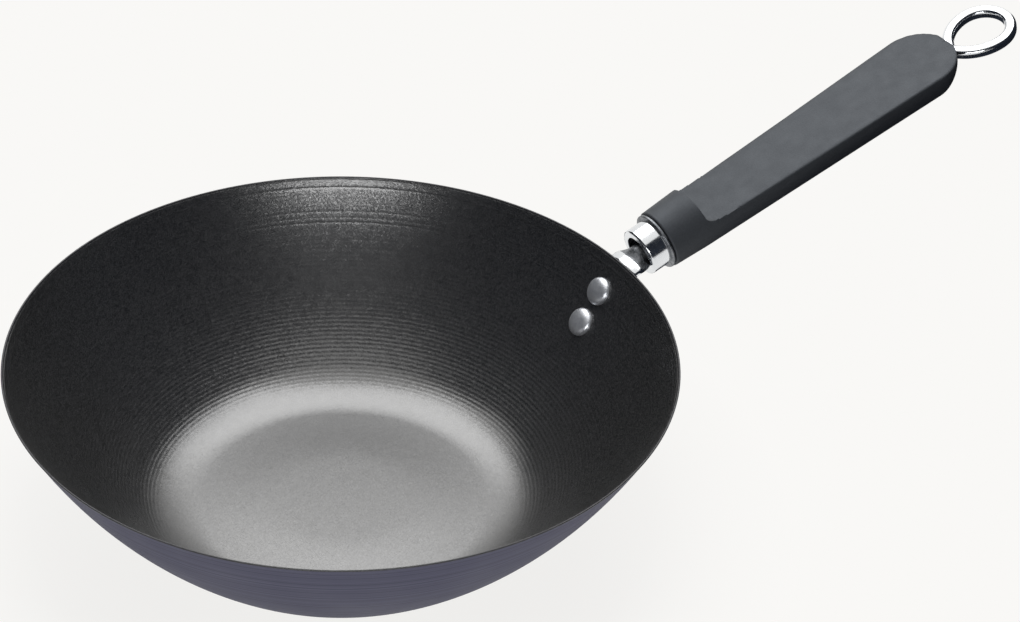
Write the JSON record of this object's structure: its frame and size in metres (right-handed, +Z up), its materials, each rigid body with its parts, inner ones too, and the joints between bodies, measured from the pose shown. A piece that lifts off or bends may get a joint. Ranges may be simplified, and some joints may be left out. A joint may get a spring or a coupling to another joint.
{
  "type": "wok",
  "caption": "Small flat-based non-stick wok: a round sloping bowl with one long rising handle on a riveted strap, a chromed ferrule, a flat-topped grip and a hanging loop at its end.",
  "frame": {"origin": "centre of the bowl's flat base, on its underside", "axes": "+Z up out of the bowl, +X from the bowl's centre towards the handle, +Y to the left when looking along the handle"},
  "size_m": [0.4714, 0.265, 0.1352],
  "materials": {
    "coated_steel": "dark grey satin non-stick coating with fine spun rings",
    "bracket_chrome": "bright chrome plate",
    "rivet_steel": "satin bright metal",
    "ferrule_chrome": "bright chrome plate",
    "grip_plastic": "black heat-resistant moulding with a fine soft-touch texture",
    "loop_chrome": "bright chrome plate",
    "plated_steel": "zinc-plated steel"
  },
  "bodies": {
    "root": {"wok_body": "coated_steel", "handle_bracket": "bracket_chrome", "rivet_upper": "rivet_steel", "rivet_lower": "rivet_steel", "ferrule": "ferrule_chrome", "grip": "grip_plastic", "hanging_loop": "loop_chrome", "tie_rod": "plated_steel", "weld_nut": "plated_steel"}
  },
  "joints": []
}
